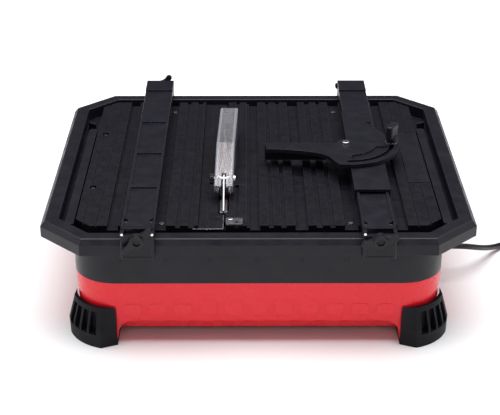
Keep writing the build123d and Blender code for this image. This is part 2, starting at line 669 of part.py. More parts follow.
with BuildPart() as guard_nose:
    with BuildSketch(guard_plane(0)):
        Polygon((196.0, -2.5), (196.0, 16.0), (204.2, 16.0), (204.2, -2.5))
    extrude(amount=GUARD_HALF - GUARD_WALL - 0.1, both=True)
    for lift in (2.0, 8.5):
        with BuildSketch(guard_plane(0)):
            with Locations((201, lift)):
                Rectangle(14, 3.2)
        extrude(amount=6.5, both=True, mode=Mode.SUBTRACT)
save(guard_nose, "guard_nose")

with BuildPart() as guard_bolt:
    with BuildSketch(guard_plane(-GUARD_HALF - 2)):
        Circle(3.0)
    extrude(amount=2 * GUARD_HALF + 2)
    with BuildSketch(guard_plane(GUARD_HALF)):
        Circle(5.2)
    extrude(amount=2.6)
save(guard_bolt, "guard_bolt")

with BuildPart() as guard_knob:
    with BuildSketch(guard_plane(-GUARD_HALF - 5.8)):
        Circle(7.2)
        with PolarLocations(7.6, 6):
            Circle(1.5, mode=Mode.SUBTRACT)
    extrude(amount=5.4)
    with BuildSketch(guard_plane(-GUARD_HALF - 3)):
        Circle(3.05)
    extrude(amount=3, mode=Mode.SUBTRACT)
save(guard_knob, "guard_knob")


# ---------------------------------------------------------------- parallel fences
POCKETS = [(-247.0, -132.6), (-123.1, -19.2), (-10.3, 96.1)]
END_SCREW_X = 16.0
LEFT_WINDOW_Y = -229.0
RIGHT_WINDOW_Y = -238.0
CLAMP_SCREW_Z = 163.4
CLAMP_SCREW_X = RAIL_WIDTH / 2 - 2.3


def build_rail(name, centre_x, window_y):
    """A fence rail: a hollow moulded bar with shallow pockets in its top and bored solid ends."""
    half = RAIL_WIDTH / 2
    with BuildPart() as rail:
        add_box(centre_x - half, centre_x + half, -RAIL_END, RAIL_END, RAIL_BOTTOM, RAIL_TOP)
        chamfer(rail.edges().filter_by(Axis.Y), 0.8)
        for y0, y1 in POCKETS:
            cut_box(centre_x - half + 3.6, centre_x + half - 3.6, y0, y1, RAIL_TOP - 2.4, RAIL_TOP + 1)
        cut_box(centre_x - half + 3, centre_x + half - 3, -220, 220, RAIL_BOTTOM - 1, RAIL_TOP - 4.6)
        # windows over the end screws
        for edge in (-1, 1):
            x = centre_x + edge * END_SCREW_X
            cut_box(x - 2.4, x + 2.4, window_y - 5, window_y + 5, RAIL_TOP - 5.5, RAIL_TOP + 1)
        for side in (-1, 1):
            with BuildSketch(front_plane(side * RAIL_END, centre_x, WING_Z)):
                Circle(STUD_HOLE)
            extrude(amount=side * 15, mode=Mode.SUBTRACT)
    save(rail, name)


def build_clamp(name, centre_x, side):
    """A plate that hangs over the deck's skirt at one end of a rail; the rear one also caps the rail."""
    half = RAIL_WIDTH / 2
    low_y = min(side * CLAMP_INNER, side * CLAMP_OUTER)
    high_y = max(side * CLAMP_INNER, side * CLAMP_OUTER)
    with BuildPart() as clamp:
        add_box(centre_x - half, centre_x + half, low_y, high_y, SKIRT_BOTTOM, 166)
        chamfer(clamp.edges().filter_by(Axis.Z), 1.0)
        # lip that bears on the rail's end
        lip = sorted((side * RAIL_END, side * (CLAMP_INNER + 1)))
        add_box(centre_x - half + 1, centre_x + half - 1, *lip, RAIL_BOTTOM + 1, 166)
        if side > 0:
            add_box(centre_x - half, centre_x + half, 222.5, CLAMP_OUTER, RAIL_TOP, RAIL_TOP + 2.3)
            add_box(centre_x - half, centre_x + half, CLAMP_INNER, CLAMP_OUTER, 165, RAIL_TOP + 1)
        else:
            cut_box(centre_x - 16.4, centre_x + 16.4, low_y - 1, high_y + 2, 160.8, 167)
        with BuildSketch(front_plane(high_y + 2, centre_x, WING_Z)):
            Circle(STUD_HOLE)
        extrude(amount=high_y - low_y + 4, mode=Mode.SUBTRACT)
        with BuildSketch(front_plane(high_y + 2, centre_x, CLAMP_SCREW_Z)):
            with GridLocations(2 * CLAMP_SCREW_X, 1, 2, 1):
                Circle(1.1)
        extrude(amount=high_y - low_y + 4, mode=Mode.SUBTRACT)
        # shallow panel in the plate's face
        with BuildSketch(front_plane(side * (CLAMP_OUTER - 0.6), centre_x, 143)):
            RectangleRounded(RAIL_WIDTH - 7, 22, 2)
        extrude(amount=-side * 1.2, mode=Mode.SUBTRACT)
    save(clamp, name)


def build_screws(name, centre_x, window_y):
    """Pan-head screws at the clamps' upper corners and in the rail's two windows."""
    with BuildPart() as screws:
        for side in (-1, 1):
            for edge in (-1, 1):
                plane = Plane(origin=(centre_x + edge * CLAMP_SCREW_X, side * CLAMP_OUTER, CLAMP_SCREW_Z),
                              x_dir=(1, 0, 0), z_dir=(0, side, 0))
                with BuildSketch(plane):
                    Circle(1.7)
                extrude(amount=1.0)
                with BuildSketch(plane):
                    Circle(1.04)
                extrude(amount=-9.0)
        for edge in (-1, 1):
            with BuildSketch(Plane.XY.offset(RAIL_TOP - 5.5)):
                with Locations((centre_x + edge * END_SCREW_X, window_y)):
                    Circle(1.8)
            extrude(amount=1.4)
    save(screws, name)


def build_wing(name, centre_x, side, turn):
    """A wing screw: a hub with two swept wings and the stud that draws the clamp to the rail."""
    tilt = math.radians(turn)
    plane = Plane(origin=(centre_x, side * (CLAMP_OUTER + 0.3), WING_Z),
                  x_dir=(math.cos(tilt), 0, math.sin(tilt)), z_dir=(0, side, 0))
    lobe = [(3.4, 8.3), (9.5, 5.4), (16, 5.9), (22, 6.4), (23.6, 2.6), (21.5, -0.8), (15.5, -1.8),
            (9.8, -4.0), (5.6, -7.2)]
    with BuildPart() as wing:
        with BuildSketch(plane):
            Circle(8.4)
        extrude(amount=10.7)
        with BuildSketch(plane.offset(1.6)):
            with BuildLine():
                Spline(*lobe, *[(-x, -y) for x, y in lobe], periodic=True)
            make_face()
        extrude(amount=6.4)
        with BuildSketch(plane.offset(10.7)):
            RegularPolygon(5.4, 6)
        extrude(amount=-2.6, mode=Mode.SUBTRACT)
        with BuildSketch(plane):
            Circle(STUD_RADIUS)
        extrude(amount=-(CLAMP_OUTER - RAIL_END + 12))
    save(wing, name)


build_rail("left_rail", FENCE_LEFT_X, LEFT_WINDOW_Y)
build_clamp("left_front_clamp", FENCE_LEFT_X, -1)
build_clamp("left_rear_clamp", FENCE_LEFT_X, 1)
build_screws("left_fence_screws", FENCE_LEFT_X, LEFT_WINDOW_Y)
build_wing("left_front_wing", FENCE_LEFT_X, -1, 33)
build_wing("left_rear_wing", FENCE_LEFT_X, 1, 57)

build_rail("right_rail", FENCE_RIGHT_X, RIGHT_WINDOW_Y)
build_clamp("right_front_clamp", FENCE_RIGHT_X, -1)
build_clamp("right_rear_clamp", FENCE_RIGHT_X, 1)
build_screws("right_fence_screws", FENCE_RIGHT_X, RIGHT_WINDOW_Y)
build_wing("right_front_wing", FENCE_RIGHT_X, -1, 6)
build_wing("right_rear_wing", FENCE_RIGHT_X, 1, 5)

# ---------------------------------------------------------------- mitre gauge
LIP_GAP = 0.4
EAR_BOTTOM = 157.0
LIP_THICK = 2.2
KNOB_AT = (185.8, -6.6)
SLOT_RADIUS = math.dist(KNOB_AT, GAUGE_PIVOT)
SLOT_HALF = 3.2
SLOT_ENDS = (-92, 8)
STUD_RADIUS = 2.0
STUD_BORE = 2.08
PIVOT_HOLE = 3.05
RAIL_LEFT = FENCE_RIGHT_X - RAIL_WIDTH / 2
RAIL_RIGHT = FENCE_RIGHT_X + RAIL_WIDTH / 2

with BuildPart() as gauge_carriage:
    # saddle plate on the rail, with an ear for the pivot on the left and one for the knob on the right
    with BuildSketch(Plane.XY.offset(CARRIAGE_BOTTOM)):
        Polygon((RAIL_LEFT - 2.6, -149.5), (RAIL_RIGHT + 2.6, -149.5), (RAIL_RIGHT + 2.6, -34.0),
                (KNOB_AT[0] + 8.0, -19.0), (KNOB_AT[0] + 9.5, 2.0), (181.4, 24.0), (180.6, 40.0),
                (166.5, 64.0), (152.3, 94.0), (147.7, 120.7), (RAIL_LEFT - 2.6, 124.8))
        with Locations(GAUGE_PIVOT):
            Circle(14)
        with Locations(KNOB_AT):
            Circle(13)
    extrude(amount=CARRIAGE_TOP - CARRIAGE_BOTTOM)
    # lips that guide it along both sides of the rail
    add_box(RAIL_LEFT - LIP_GAP - LIP_THICK, RAIL_LEFT - LIP_GAP, -149.5, 124.0, 160, CARRIAGE_TOP)
    add_box(RAIL_RIGHT + LIP_GAP, RAIL_RIGHT + LIP_GAP + LIP_THICK, -149.5, 20.0, 160, CARRIAGE_TOP)
    # boss under the knob's ear
    with BuildSketch(Plane.XY.offset(EAR_BOTTOM)):
        with Locations(KNOB_AT):
            Circle(9)
    extrude(amount=CARRIAGE_TOP - EAR_BOTTOM)
    for at, radius in ((GAUGE_PIVOT, 2.95), (KNOB_AT, STUD_BORE)):
        with BuildSketch(Plane.XY.offset(EAR_BOTTOM - 1)):
            with Locations(at):
                Circle(radius)
        extrude(amount=CARRIAGE_TOP - EAR_BOTTOM + 2, mode=Mode.SUBTRACT)
save(gauge_carriage, "gauge_carriage")

BAND_INNER = 42.0
BAND_OUTER = 60.0
SECTOR = (-101.0, 11.0)
FENCE_TIP_X = 10.2
with BuildPart() as gauge_arm:
    # flat hand: a straight fence edge on the far side and a quarter disc about the pivot
    with BuildSketch(Plane.XY.offset(ARM_BOTTOM)):
        with BuildLine():
            Polyline((FENCE_TIP_X, -8.2), (GAUGE_PIVOT[0] + 40, GAUGE_PIVOT[1]),
                     polar(DISC_RADIUS, SECTOR[1], GAUGE_PIVOT))
            ThreePointArc(polar(DISC_RADIUS, SECTOR[1], GAUGE_PIVOT),
                          polar(DISC_RADIUS, -45, GAUGE_PIVOT), polar(DISC_RADIUS, SECTOR[0], GAUGE_PIVOT))
            Line(polar(DISC_RADIUS, SECTOR[0], GAUGE_PIVOT), (97.5, -57.0))
            Spline((97.5, -57.0), (80.0, -42.5), (46.0, -33.0), (12.6, -29.6),
                   tangents=[(-1, 2), (-1, 0.02)])
            Line((12.6, -29.6), (FENCE_TIP_X, -8.2))
        make_face()
        with Locations(GAUGE_PIVOT):
            Circle(12.5)
    extrude(amount=ARM_TOP - ARM_BOTTOM)
    # recessed scale band and the clamp's curved slot
    with BuildSketch(Plane.XY.offset(ARM_TOP)):
        with Locations(GAUGE_PIVOT):
            Circle(BAND_OUTER - 1)
            Circle(BAND_INNER, mode=Mode.SUBTRACT)
        Polygon(polar(18, -48, GAUGE_PIVOT), polar(110, -4, GAUGE_PIVOT), polar(140, -48, GAUGE_PIVOT),
                polar(110, -94, GAUGE_PIVOT), mode=Mode.INTERSECT)
    extrude(amount=-2.6, mode=Mode.SUBTRACT)
    with BuildSketch(Plane.XY.offset(ARM_BOTTOM)):
        with BuildLine():
            for radius in (SLOT_RADIUS - SLOT_HALF, SLOT_RADIUS + SLOT_HALF):
                CenterArc(GAUGE_PIVOT, radius, SLOT_ENDS[0], SLOT_ENDS[1] - SLOT_ENDS[0])
            for end in SLOT_ENDS:
                Line(polar(SLOT_RADIUS - SLOT_HALF, end, GAUGE_PIVOT),
                     polar(SLOT_RADIUS + SLOT_HALF, end, GAUGE_PIVOT))
        make_face()
    extrude(amount=ARM_TOP - ARM_BOTTOM, mode=Mode.SUBTRACT)
    # hanging fence wall that the tile rests against
    add_box(FENCE_TIP_X, 96, -11.4, -8.2, 153, ARM_BOTTOM + 1)
    with BuildSketch(Plane.XY.offset(ARM_BOTTOM)):
        with Locations(GAUGE_PIVOT):
            Circle(PIVOT_HOLE)
    extrude(amount=ARM_TOP - ARM_BOTTOM, mode=Mode.SUBTRACT)
save(gauge_arm, "gauge_arm")

with BuildPart() as gauge_pivot_screw:
    with BuildSketch(Plane.XY.offset(ARM_TOP + 0.1)):
        with Locations(GAUGE_PIVOT):
            Circle(5.4)
    extrude(amount=2.6)
    fillet(gauge_pivot_screw.edges().group_by(Axis.Z)[-1], 0.8)
    with BuildSketch(Plane.XY.offset(CARRIAGE_BOTTOM)):
        with Locations(GAUGE_PIVOT):
            Circle(2.95)
    extrude(amount=ARM_TOP + 1 - CARRIAGE_BOTTOM)
save(gauge_pivot_screw, "gauge_pivot_screw")

with BuildPart() as gauge_washer:
    with BuildSketch(Plane.XY.offset(ARM_TOP + 0.15)):
        with Locations(KNOB_AT):
            Circle(8.8)
            Circle(STUD_BORE + 0.02, mode=Mode.SUBTRACT)
    extrude(amount=1.3)
save(gauge_washer, "gauge_washer")

KNOB_BASE = ARM_TOP + 1.5
with BuildPart() as gauge_knob:
    with BuildSketch(Plane.XY.offset(KNOB_BASE)):
        with Locations(KNOB_AT):
            Circle(7.6)
    extrude(amount=9)
    with BuildSketch(Plane.XY.offset(KNOB_BASE + 7)):
        with Locations(Location((KNOB_AT[0], KNOB_AT[1], 0), (0, 0, 60))):
            SlotOverall(25, 10.4)
    extrude(amount=18)
    fillet(gauge_knob.edges().group_by(Axis.Z)[-1], 2.2)
    with BuildSketch(Plane.XY.offset(CARRIAGE_BOTTOM - 2)):
        with Locations(KNOB_AT):
            Circle(STUD_RADIUS)
    extrude(amount=KNOB_BASE + 1 - CARRIAGE_BOTTOM + 2)
save(gauge_knob, "gauge_knob")

# ---------------------------------------------------------------- switch on the right wall
SWITCH_AT = (235.0, 65.0, 104.0)
with BuildPart() as switch_box:
    with BuildSketch(x_plane(*SWITCH_AT)):
        RectangleRounded(60, 44, 5)
    extrude(amount=20)
    chamfer(switch_box.faces().sort_by(Axis.X)[-1].edges(), 1.2)
    with BuildSketch(x_plane(SWITCH_AT[0] + 10, SWITCH_AT[1], SWITCH_AT[2])):
        Rectangle(26, 26)
    extrude(amount=12, mode=Mode.SUBTRACT)
    # pegs that the rocker turns on
    for side in (-1, 1):
        with BuildSketch(front_plane(SWITCH_AT[1] + side * 13, SWITCH_AT[0] + 16, SWITCH_AT[2])):
            Circle(1.5)
        extrude(amount=side * 3)
save(switch_box, "switch_box")

with BuildPart() as switch_rocker:
    with BuildSketch(front_plane(SWITCH_AT[1] + 11.4, SWITCH_AT[0], SWITCH_AT[2])):
        Polygon((12.4, -10.5), (12.4, 10.5), (24.5, 11.5), (20.6, 0), (24.5, -11.5))
    extrude(amount=22.8)
    fillet(switch_rocker.edges().filter_by(Axis.Y).group_by(Axis.X)[-1], 1.0)
    with BuildSketch(front_plane(SWITCH_AT[1] + 12, SWITCH_AT[0] + 16, SWITCH_AT[2])):
        Circle(1.56)
    extrude(amount=24, mode=Mode.SUBTRACT)
save(switch_rocker, "switch_rocker")

# ---------------------------------------------------------------- mains cord
GLAND_AT = (232.6, -62.0, 44.0)
GLAND_LENGTH = 30.0
with BuildPart() as cord_gland:
    # strain relief: a flange on the wall and a tapered ribbed sleeve
    with BuildSketch(x_plane(*GLAND_AT)):
        Circle(11)
    extrude(amount=4)
    with BuildSketch(x_plane(GLAND_AT[0] + 3, GLAND_AT[1], GLAND_AT[2])):
        Circle(8.6)
    with BuildSketch(x_plane(GLAND_AT[0] + GLAND_LENGTH, GLAND_AT[1], GLAND_AT[2])):
        Circle(5.4)
    loft()
save(cord_gland, "cord_gland")

CORD_START = (GLAND_AT[0] + GLAND_LENGTH, GLAND_AT[1], GLAND_AT[2])
COIL_CENTRE = (440.0, 96.0)
COIL_RADIUS = 58.0           # outermost turn of the bottom layer
COIL_PITCH = 8.5             # each turn lies beside the last one
COIL_TURNS = 3.125             # turns in each of the two layers
COIL_HEIGHT = 16.6
LEAD_POINTS = [
    CORD_START,
    (286.0, -62.0, 44.0),
    (308.0, -46.0, 33.5),
    (327.0, -18.0, 18.5),
    (345.0, 8.0, 7.0),
    (368.0, 27.0, 4.0),
    (402.0, 36.5, 4.2),
    (432.0, 38.0, 4.2),
]
TAIL_POINTS = [
    (493.6, 118.2, 12.4),
    (494.0, 145.0, 9.5),
    (486.0, 171.0, 7.0),
    (464.0, 186.0, 12.0),
    (441.0, 190.0, 18.0),
]


def corner_radii(points):
    """The bend radius at each inner point, 0.45 of its shorter run over the tangent of half its turn."""
    radii = []
    for before, here, after in zip(points[:-2], points[1:-1], points[2:]):
        first = Vector(*here) - Vector(*before)
        second = Vector(*after) - Vector(*here)
        half_turn = math.radians(first.get_angle(second)) / 2
        radii.append(0.45 * min(first.length, second.length) / math.tan(half_turn))
    return radii


def build_cord(name, points):
    """A round cord along straight runs that are joined by tangent arcs."""
    radii = corner_radii(points)
    with BuildPart() as cord:
        with BuildLine() as route:
            FilletPolyline(*points, radius=radii)
        path = route.wires()[0]
        with BuildSketch(Plane(origin=points[0], z_dir=path % 0)):
            Circle(CORD_RADIUS)
        sweep(path=path)
    filled = cord.part.volume / (math.pi * CORD_RADIUS**2 * path.length)
    print(name, "length", round(path.length, 1), "bend radii", [round(r) for r in radii])
    print(name, "volume over section times length", round(filled, 4))
    save(cord, name)


build_cord("cord_lead", LEAD_POINTS)
build_cord("cord_tail", TAIL_POINTS)

with BuildPart() as cord_coil:
    with BuildSketch(Plane.XY):
        with Locations(COIL_CENTRE):
            Circle(COIL_RADIUS + CORD_RADIUS + 0.6)
            Circle(COIL_RADIUS - COIL_PITCH * COIL_TURNS - CORD_RADIUS, mode=Mode.SUBTRACT)
    extrude(amount=COIL_HEIGHT)
    fillet(cord_coil.edges().filter_by(GeomType.CIRCLE), 3)
save(cord_coil, "cord_coil")

PLUG_AT = TAIL_POINTS[-1]
PLUG_WAY = Vector(*TAIL_POINTS[-1]) - Vector(*TAIL_POINTS[-2])
plug_plane = Plane(origin=PLUG_AT, x_dir=(0, 0, 1), z_dir=(PLUG_WAY.X, PLUG_WAY.Y, 0))
with BuildPart() as plug:
    with BuildSketch(plug_plane):
        Circle(6.2)
    with BuildSketch(plug_plane.offset(16)):
        Circle(9)
    loft()
    with BuildSketch(plug_plane.offset(16)):
        Circle(17.6)
    extrude(amount=18)
    fillet(plug.edges().filter_by(GeomType.CIRCLE).filter_by(lambda e: e.radius > 17), 3)
    for side in (-1, 1):
        with BuildSketch(plug_plane.offset(33)):
            with Locations((0, side * 9.5)):
                Circle(2.4)
        extrude(amount=20)
save(plug, "plug")
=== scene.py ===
"""Looks of the table-top wet tile saw: camera, light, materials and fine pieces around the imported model."""

import json
import math

import bmesh
import bpy
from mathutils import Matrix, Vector


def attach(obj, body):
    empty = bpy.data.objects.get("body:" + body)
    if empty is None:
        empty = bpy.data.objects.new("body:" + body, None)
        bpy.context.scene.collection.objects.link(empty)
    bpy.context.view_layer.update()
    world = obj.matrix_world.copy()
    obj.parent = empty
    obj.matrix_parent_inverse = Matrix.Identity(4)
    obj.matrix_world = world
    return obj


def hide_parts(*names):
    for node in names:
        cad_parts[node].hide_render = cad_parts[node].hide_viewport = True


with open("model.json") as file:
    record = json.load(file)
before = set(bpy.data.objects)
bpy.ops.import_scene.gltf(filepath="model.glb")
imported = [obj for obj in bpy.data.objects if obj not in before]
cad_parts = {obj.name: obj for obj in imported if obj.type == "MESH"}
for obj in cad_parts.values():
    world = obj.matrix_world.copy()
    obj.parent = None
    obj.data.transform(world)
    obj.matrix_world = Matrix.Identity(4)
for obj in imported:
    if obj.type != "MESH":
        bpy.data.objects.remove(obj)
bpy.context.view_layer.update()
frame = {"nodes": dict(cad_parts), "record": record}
nodes = frame["nodes"]

# the guard stands a little askew; these bring its own middle plane to x = 0
GUARD_TURN = 0.024435
GUARD_OFFSET = 0.04215
ROOF_CLEARNESS = 0.94
WALL_CLEARNESS = 0.50
ROOF_TINT = (0.80, 0.79, 0.84)
# the side walls' darker tint below is painted shade
WALL_SHADE_TINT = (0.36, 0.35, 0.40)

# ---------------------------------------------------------------- camera
CAMERA_AT = (-0.0162, -1.7686, 0.9115)
CAMERA_PITCH = 25.33         # degrees below level
CAMERA_YAW = 0.19            # degrees to the right
CAMERA_LENS = 99.0


def make_camera():
    data = bpy.data.cameras.new("camera")
    data.lens = CAMERA_LENS
    data.sensor_width = 36.0
    data.clip_end = 50.0
    camera = bpy.data.objects.new("camera", data)
    camera.location = CAMERA_AT
    camera.rotation_euler = (math.radians(90 - CAMERA_PITCH), 0, math.radians(-CAMERA_YAW))
    bpy.context.scene.collection.objects.link(camera)
    bpy.context.scene.camera = camera


make_camera()


# ---------------------------------------------------------------- materials
def node(tree, kind, **settings):
    """A shader node with its properties and its unlinked inputs set."""
    made = tree.nodes.new(kind)
    for key, value in settings.items():
        if hasattr(made, key):
            setattr(made, key, value)
        else:
            made.inputs[key.replace("_", " ")].default_value = value
    return made


def mix_colours(tree, factor, first, second):
    """The output of a colour mix between two fixed colours, or an output and a colour, by a factor output."""
    mix = node(tree, "ShaderNodeMix", data_type="RGBA")
    tree.links.new(factor, mix.inputs[0])
    for socket, value in ((mix.inputs[6], first), (mix.inputs[7], second)):
        if isinstance(value, tuple):
            socket.default_value = (*value, 1.0)
        else:
            tree.links.new(value, socket)
    return mix.outputs[2]


def spread(tree, value, low, high, to_low, to_high):
    """Map a value from one range to another."""
    ranged = node(tree, "ShaderNodeMapRange", From_Min=low, From_Max=high, To_Min=to_low, To_Max=to_high)
    tree.links.new(value, ranged.inputs[0])
    return ranged.outputs[0]


def noise(tree, place, scale, detail=3.0, roughness=0.55):
    made = node(tree, "ShaderNodeTexNoise", Scale=scale, Detail=detail, Roughness=roughness)
    tree.links.new(place, made.inputs["Vector"])
    return made.outputs["Fac"]


def surface(name, colour, other, edge, rough, rough_range=0.08, metallic=0.0, mottle=18.0, grain=900.0,
            grain_height=0.00002, bevel=0.0007, coat=0.0, stretch=(1, 1, 1), sheen=0.0, specular=0.5):
    """A worn moulded or metal surface: two near colours, lighter edges (partly rubbed wear, partly painted
    highlight), grain and uneven gloss.
    """
    material = bpy.data.materials.new(name)
    material.use_nodes = True
    tree = material.node_tree
    shader = tree.nodes["Principled BSDF"]
    shader.inputs["Metallic"].default_value = metallic
    shader.inputs["Coat Weight"].default_value = coat
    shader.inputs["Coat Roughness"].default_value = 0.12
    shader.inputs["Sheen Weight"].default_value = sheen
    shader.inputs["Specular IOR Level"].default_value = specular
    place = node(tree, "ShaderNodeTexCoord").outputs["Object"]
    scaled = node(tree, "ShaderNodeMapping", Scale=stretch)
    tree.links.new(place, scaled.inputs["Vector"])
    place = scaled.outputs["Vector"]
    patches = spread(tree, noise(tree, place, mottle), 0.35, 0.65, 0.0, 1.0)
    body = mix_colours(tree, patches, colour, other)
    # lighter edges, partly rubbed wear and partly painted highlight: where a rounded edge's normal leaves the
    # flat one
    rounded = node(tree, "ShaderNodeBevel", Radius=bevel)
    rounded.samples = 4
    flat = node(tree, "ShaderNodeNewGeometry")
    agree = node(tree, "ShaderNodeVectorMath", operation="DOT_PRODUCT")
    tree.links.new(rounded.outputs[0], agree.inputs[0])
    tree.links.new(flat.outputs["Normal"], agree.inputs[1])
    rubbed_and_highlit = spread(tree, agree.outputs["Value"], 0.999, 0.93, 0.0, 1.0)
    tree.links.new(mix_colours(tree, rubbed_and_highlit, body, edge), shader.inputs["Base Color"])
    blotches = noise(tree, place, mottle * 2.7, 5.0)
    uneven = spread(tree, blotches, 0.3, 0.7, rough - rough_range, rough + rough_range)
    tree.links.new(uneven, shader.inputs["Roughness"])
    bump = node(tree, "ShaderNodeBump", Strength=0.5, Distance=grain_height)
    tree.links.new(noise(tree, place, grain, 2.0), bump.inputs["Height"])
    tree.links.new(rounded.outputs[0], bump.inputs["Normal"])
    tree.links.new(bump.outputs[0], shader.inputs["Normal"])
    return material


def frosted_and_shaded_walls(tree, place, clear, walls):
    """Less clear away from the guard's middle plane, so the roof stays clear and the sides look frosted; the
    sides also take a darker tint that is painted shade.
    """
    turned = node(tree, "ShaderNodeMapping", Location=(GUARD_OFFSET, 0, 0), Rotation=(0, 0, GUARD_TURN))
    tree.links.new(place, turned.inputs["Vector"])
    parts = node(tree, "ShaderNodeSeparateXYZ")
    tree.links.new(turned.outputs["Vector"], parts.inputs[0])
    away = node(tree, "ShaderNodeMath", operation="ABSOLUTE")
    tree.links.new(parts.outputs["X"], away.inputs[0])
    wall = spread(tree, away.outputs[0], walls[0], walls[1], ROOF_CLEARNESS, WALL_CLEARNESS)
    both = node(tree, "ShaderNodeMath", operation="MULTIPLY")
    tree.links.new(clear, both.inputs[0])
    tree.links.new(wall, both.inputs[1])
    # painted shade: the side walls take the darker wall tint
    tint = spread(tree, away.outputs[0], walls[0], walls[1], 0.0, 1.0)
    return both.outputs[0], mix_colours(tree, tint, ROOF_TINT, WALL_SHADE_TINT)


def clear_surface(name, tint, rough, frost, walls=None):
    """Clear moulded plastic with haze and frosted edges.

    walls gives the distances from the middle plane over which the side walls turn frosted and take a darker tint
    of painted shade.
    """
    material = bpy.data.materials.new(name)
    material.use_nodes = True
    tree = material.node_tree
    shader = tree.nodes["Principled BSDF"]
    shader.inputs["Base Color"].default_value = (*tint, 1.0)
    shader.inputs["IOR"].default_value = 1.46
    place = node(tree, "ShaderNodeTexCoord").outputs["Object"]
    haze = noise(tree, place, 60.0, 4.0)
    rounded = node(tree, "ShaderNodeBevel", Radius=0.0012)
    rounded.samples = 4
    flat = node(tree, "ShaderNodeNewGeometry")
    agree = node(tree, "ShaderNodeVectorMath", operation="DOT_PRODUCT")
    tree.links.new(rounded.outputs[0], agree.inputs[0])
    tree.links.new(flat.outputs["Normal"], agree.inputs[1])
    clear = spread(tree, agree.outputs["Value"], 0.93, 0.999, 1.0 - frost, 0.96)
    if walls:
        clear, colour = frosted_and_shaded_walls(tree, place, clear, walls)
        tree.links.new(colour, shader.inputs["Base Color"])
    tree.links.new(clear, shader.inputs["Transmission Weight"])
    tree.links.new(spread(tree, haze, 0.3, 0.7, rough * 0.6, rough * 1.5), shader.inputs["Roughness"])
    bump = node(tree, "ShaderNodeBump", Strength=0.25, Distance=0.0002)
    tree.links.new(haze, bump.inputs["Height"])
    tree.links.new(rounded.outputs[0], bump.inputs["Normal"])
    tree.links.new(bump.outputs[0], shader.inputs["Normal"])
    return material


# each surface's third colour is its lighter edge colour: partly rubbed wear, partly painted highlight
MATERIALS = {
    "red_plastic": surface("red_plastic", (0.79, 0.0118, 0.0235), (0.775, 0.0112, 0.0225),
                           (0.86, 0.05, 0.062), 0.28, coat=0.10, specular=0.3, grain=500.0, grain_height=0.00001),
    "black_plastic": surface("black_plastic", (0.0062, 0.0058, 0.0098), (0.0080, 0.0076, 0.0124),
                             (0.034, 0.033, 0.043), 0.38, specular=0.25),
    "black_knob": surface("black_knob", (0.0050, 0.0047, 0.0080), (0.0070, 0.0066, 0.0106),
                          (0.034, 0.033, 0.041), 0.42, grain=1600.0, grain_height=0.00004, specular=0.3),
    "rubber": surface("rubber", (0.0036, 0.0034, 0.0058), (0.0052, 0.0049, 0.0078),
                      (0.018, 0.017, 0.022), 0.60, grain=1200.0, grain_height=0.00005, specular=0.2),
    "table_cast": surface("table_cast", (0.0026, 0.0024, 0.0050), (0.0044, 0.0041, 0.0076),
                          (0.042, 0.040, 0.050), 0.44, mottle=40.0, grain=700.0, grain_height=0.00003,
                          bevel=0.0006, specular=0.22),
    "steel": surface("steel", (0.26, 0.26, 0.27), (0.33, 0.33, 0.34), (0.52, 0.52, 0.53), 0.40, metallic=1.0,
                     grain=400.0, stretch=(1, 1, 14), grain_height=0.00001, bevel=0.0003),
    "dull_zinc": surface("dull_zinc", (0.13, 0.13, 0.135), (0.19, 0.19, 0.195), (0.40, 0.40, 0.41), 0.46,
                         metallic=1.0, mottle=90.0, grain=700.0, grain_height=0.00002, bevel=0.0003),
    "screw_steel": surface("screw_steel", (0.72, 0.72, 0.73), (0.80, 0.80, 0.80), (0.92, 0.92, 0.93), 0.20,
                           metallic=1.0, mottle=300.0, grain=900.0, bevel=0.0003),
    "blade_steel": surface("blade_steel", (0.42, 0.41, 0.41), (0.52, 0.51, 0.50), (0.70, 0.70, 0.70), 0.36,
                           metallic=1.0, mottle=30.0, grain=1500.0, bevel=0.0002),
    "blade_rim": surface("blade_rim", (0.34, 0.25, 0.17), (0.24, 0.18, 0.13), (0.50, 0.42, 0.32), 0.62,
                         metallic=0.3, mottle=700.0, grain=2500.0, grain_height=0.0003, bevel=0.0003),
    "motor_paint": surface("motor_paint", (0.34, 0.34, 0.35), (0.42, 0.42, 0.43), (0.55, 0.55, 0.55), 0.45,
                           metallic=0.8, grain=600.0, grain_height=0.0001),
    "cord": surface("cord", (0.0070, 0.0069, 0.0086), (0.0098, 0.0096, 0.0116), (0.024, 0.023, 0.027), 0.45,
                    grain=1500.0, grain_height=0.00003, specular=0.35),
    "clear_plastic": clear_surface("clear_plastic", (0.93, 0.93, 0.96), 0.10, 0.55),
}
GUARD_SHELL = clear_surface("guard_clear", (0.90, 0.89, 0.93), 0.12, 0.60, walls=(0.0080, 0.0105))


def dress_nodes():
    """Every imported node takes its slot's material."""
    slots = {part["node"]: part["material_slot"] for part in frame["record"]["subparts"]}
    for name, item in nodes.items():
        item.data.materials.clear()
        item.data.materials.append(GUARD_SHELL if name == "guard_shell" else MATERIALS[slots[name]])


dress_nodes()


def finish_piece(item, body, slot):
    """Link a new piece, give it its slot's material and let it ride on a body."""
    if item.name not in bpy.context.scene.collection.objects:
        bpy.context.scene.collection.objects.link(item)
    item.data.materials.clear()
    item.data.materials.append(MATERIALS[slot])
    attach(item, body)
    return item


# ---------------------------------------------------------------- fine pieces on the table
PLATE_EDGE = 0.0004          # rounding of a thin plate's edges
LAND_TOP = 0.1515
SLOT_PLATE_TOP = 0.1474
# name: x from and to, y from and to, underside, thickness, slot
PLATES = {
    "pad_sheet_slit": (-0.0302, -0.0158, -0.0927, -0.0428, LAND_TOP + 0.0002, 0.0003, "black_plastic"),
    "pad_sheet_right": (0.2042, 0.2282, -0.0827, 0.0842, LAND_TOP + 0.00025, 0.0003, "black_plastic"),
    "slot_edge_side": (-0.0455, -0.0445, -0.2175, -0.1775, SLOT_PLATE_TOP - 0.0001, 0.0004, "steel"),
    "slot_edge_front": (-0.0835, -0.0459, -0.2178, -0.2170, SLOT_PLATE_TOP - 0.0001, 0.0004, "steel"),
}


